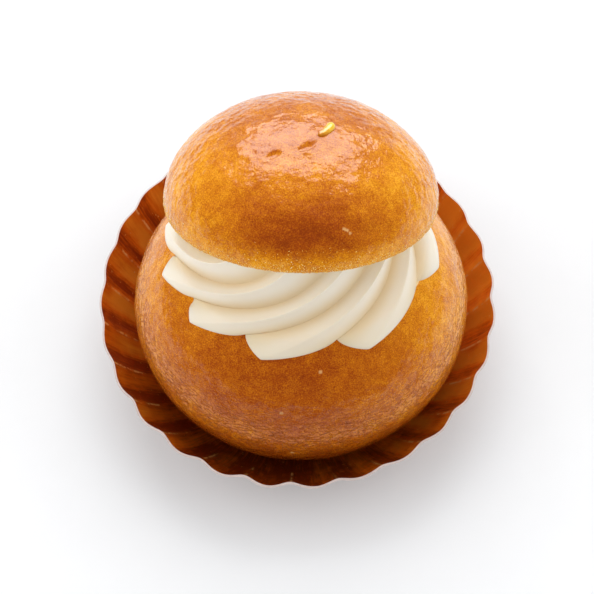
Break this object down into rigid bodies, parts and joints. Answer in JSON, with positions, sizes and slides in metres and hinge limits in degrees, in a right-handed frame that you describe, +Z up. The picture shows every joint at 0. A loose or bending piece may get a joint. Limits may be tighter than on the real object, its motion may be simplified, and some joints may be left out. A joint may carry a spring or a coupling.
{
  "type": "rum baba",
  "caption": "Round soaked yeast bun, sliced on a slant and filled with a piped cream rosette, its domed top set back on at a tilt, standing in a flared fluted case.",
  "frame": {"origin": "middle of the case's underside, on the surface that it stands on", "axes": "+Z up; -Y is the front, where the top is raised and the cream shows; +X is to the right, seen from the front"},
  "size_m": [0.0893, 0.094, 0.0707],
  "materials": {
    "case_foil": "copper-brown metallic paper, pressed into flutes, glossy",
    "glazed_crust": "amber syrup-soaked crust under a thin wrinkled glaze",
    "whipped_cream": "smooth ivory whipped cream, softly satin"
  },
  "bodies": {
    "root": {"fluted_case": "case_foil", "bun_base": "glazed_crust", "cream": "whipped_cream", "bun_top": "glazed_crust"}
  },
  "joints": []
}
